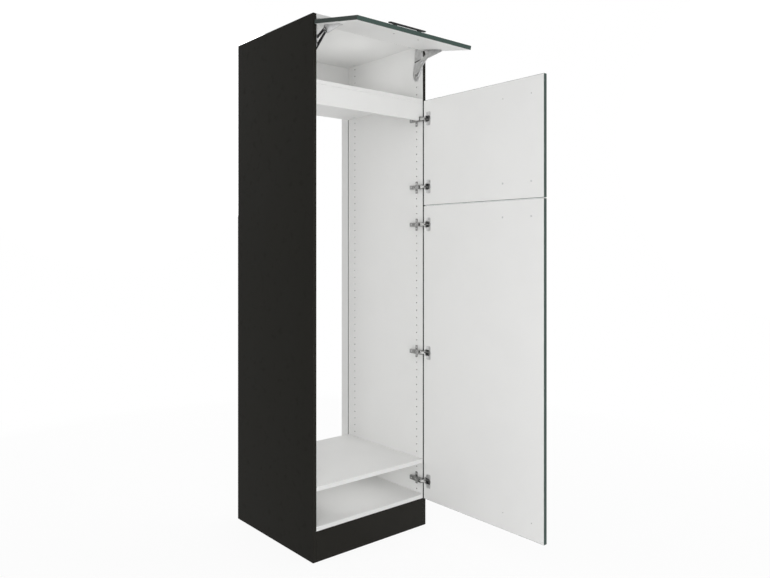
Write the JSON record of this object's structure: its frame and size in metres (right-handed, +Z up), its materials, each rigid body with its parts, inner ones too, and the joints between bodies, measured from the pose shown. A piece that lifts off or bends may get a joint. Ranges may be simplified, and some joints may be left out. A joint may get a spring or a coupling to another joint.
{
  "type": "appliance housing cabinet",
  "caption": "Tall kitchen cabinet with an open appliance niche, a lift-up flap on lever fittings, doors on concealed hinges, bar handles and thin backs.",
  "frame": {"origin": "floor level, halfway across the cabinet, in the middle of the plinth board", "axes": "+Z up, the front faces -Y, +X to the right seen from the front"},
  "size_m": [0.6218, 1.151, 2.065],
  "materials": {
    "white_board": "white coated chipboard, satin",
    "dark_board": "dark coated chipboard, matt",
    "front_board": "coated fibreboard, matt",
    "bright_steel": "nickel-plated, satin",
    "dark_steel": "plated, dark satin",
    "black_metal": "black powder coat, matt"
  },
  "bodies": {
    "carcass": {"side_panel_left": "dark_board", "side_panel_right": "dark_board", "top_panel": "white_board", "compartment_shelf": "white_board", "niche_fascia": "white_board", "appliance_shelf": "white_board", "bottom_panel": "white_board", "plinth_board": "dark_board", "compartment_back": "white_board", "lower_back": "white_board", "lift_body_left": "bright_steel", "lift_body_right": "bright_steel", "upper_hinge_1_plate": "bright_steel", "upper_hinge_2_plate": "bright_steel", "lower_hinge_1_plate": "bright_steel", "lower_hinge_2_plate": "bright_steel", "lower_hinge_3_plate": "bright_steel", "upper_hinge_1_arm": "bright_steel", "upper_hinge_2_arm": "bright_steel", "lower_hinge_1_arm": "bright_steel", "lower_hinge_2_arm": "bright_steel", "lower_hinge_3_arm": "bright_steel"},
    "upper_short_links": {"upper_hinge_1_short_link": "dark_steel", "upper_hinge_2_short_link": "dark_steel"},
    "upper_long_links": {"upper_hinge_1_long_link": "dark_steel", "upper_hinge_2_long_link": "dark_steel"},
    "upper_door": {"upper_door": "front_board", "upper_door_handle": "black_metal", "upper_door_handle_screw_1": "bright_steel", "upper_door_handle_screw_2": "bright_steel", "upper_hinge_1_cup": "bright_steel", "upper_hinge_2_cup": "bright_steel"},
    "lower_short_links": {"lower_hinge_1_short_link": "dark_steel", "lower_hinge_2_short_link": "dark_steel", "lower_hinge_3_short_link": "dark_steel"},
    "lower_long_links": {"lower_hinge_1_long_link": "dark_steel", "lower_hinge_2_long_link": "dark_steel", "lower_hinge_3_long_link": "dark_steel"},
    "lower_door": {"lower_door": "front_board", "lower_door_handle": "black_metal", "lower_door_handle_screw_1": "bright_steel", "lower_door_handle_screw_2": "bright_steel", "lower_hinge_1_cup": "bright_steel", "lower_hinge_2_cup": "bright_steel", "lower_hinge_3_cup": "bright_steel"},
    "lift_levers": {"lift_lever_left": "dark_steel", "lift_lever_right": "dark_steel"},
    "lift_stays": {"lift_stay_left": "bright_steel", "lift_stay_right": "bright_steel"},
    "flap": {"flap": "front_board", "flap_handle": "black_metal", "flap_handle_screw_1": "bright_steel", "flap_handle_screw_2": "bright_steel", "flap_bracket_left": "bright_steel", "flap_bracket_right": "bright_steel"}
  },
  "joints": [
    {"name": "upper_short_link_pivot", "type": "hinge", "parent": "carcass", "child": "upper_short_links", "pos_m": [0.28029, -0.01805, 1.5866], "axis": [0, 0, 1], "range_deg": [-2.72, 49.44]},
    {"name": "upper_door_pivot", "type": "hinge", "parent": "upper_short_links", "child": "upper_door", "pos_m": [0.28826, -0.0223, 1.5866], "axis": [0, 0, 1], "range_deg": [-139.44, 7.66]},
    {"name": "upper_long_link_pivot", "type": "hinge", "parent": "carcass", "child": "upper_long_links", "pos_m": [0.26385, -0.01611, 1.5866], "axis": [0, 0, 1], "range_deg": [-1.71, 31.05]},
    {"name": "lower_short_link_pivot", "type": "hinge", "parent": "carcass", "child": "lower_short_links", "pos_m": [0.28029, -0.01805, 0.7386], "axis": [0, 0, 1], "range_deg": [-2.72, 49.44]},
    {"name": "lower_door_pivot", "type": "hinge", "parent": "lower_short_links", "child": "lower_door", "pos_m": [0.28826, -0.0223, 0.7386], "axis": [0, 0, 1], "range_deg": [-139.44, 7.66]},
    {"name": "lower_long_link_pivot", "type": "hinge", "parent": "carcass", "child": "lower_long_links", "pos_m": [0.26385, -0.01611, 0.7386], "axis": [0, 0, 1], "range_deg": [-1.71, 31.05]},
    {"name": "lift_lever_pivot", "type": "hinge", "parent": "carcass", "child": "lift_levers", "pos_m": [0, 0.02446, 1.93029], "axis": [1, 0, 0], "range_deg": [-45.36, 0]},
    {"name": "flap_pivot", "type": "hinge", "parent": "lift_levers", "child": "flap", "pos_m": [0, -0.04775, 1.98831], "axis": [1, 0, 0], "range_deg": [0, 124.16]},
    {"name": "lift_stay_pivot", "type": "hinge", "parent": "carcass", "child": "lift_stays", "pos_m": [0, 0.00022, 1.97738], "axis": [1, 0, 0], "range_deg": [-69.79, 0]}
  ],
  "couplings": [
    {"joint": "upper_short_link_pivot", "follows": "upper_door_pivot", "ratio": -0.35457},
    {"joint": "upper_long_link_pivot", "follows": "upper_door_pivot", "ratio": -0.22267},
    {"joint": "lower_short_link_pivot", "follows": "lower_door_pivot", "ratio": -0.35457},
    {"joint": "lower_long_link_pivot", "follows": "lower_door_pivot", "ratio": -0.22267},
    {"joint": "lift_lever_pivot", "follows": "flap_pivot", "ratio": -0.36531},
    {"joint": "lift_stay_pivot", "follows": "flap_pivot", "ratio": -0.56209}
  ]
}
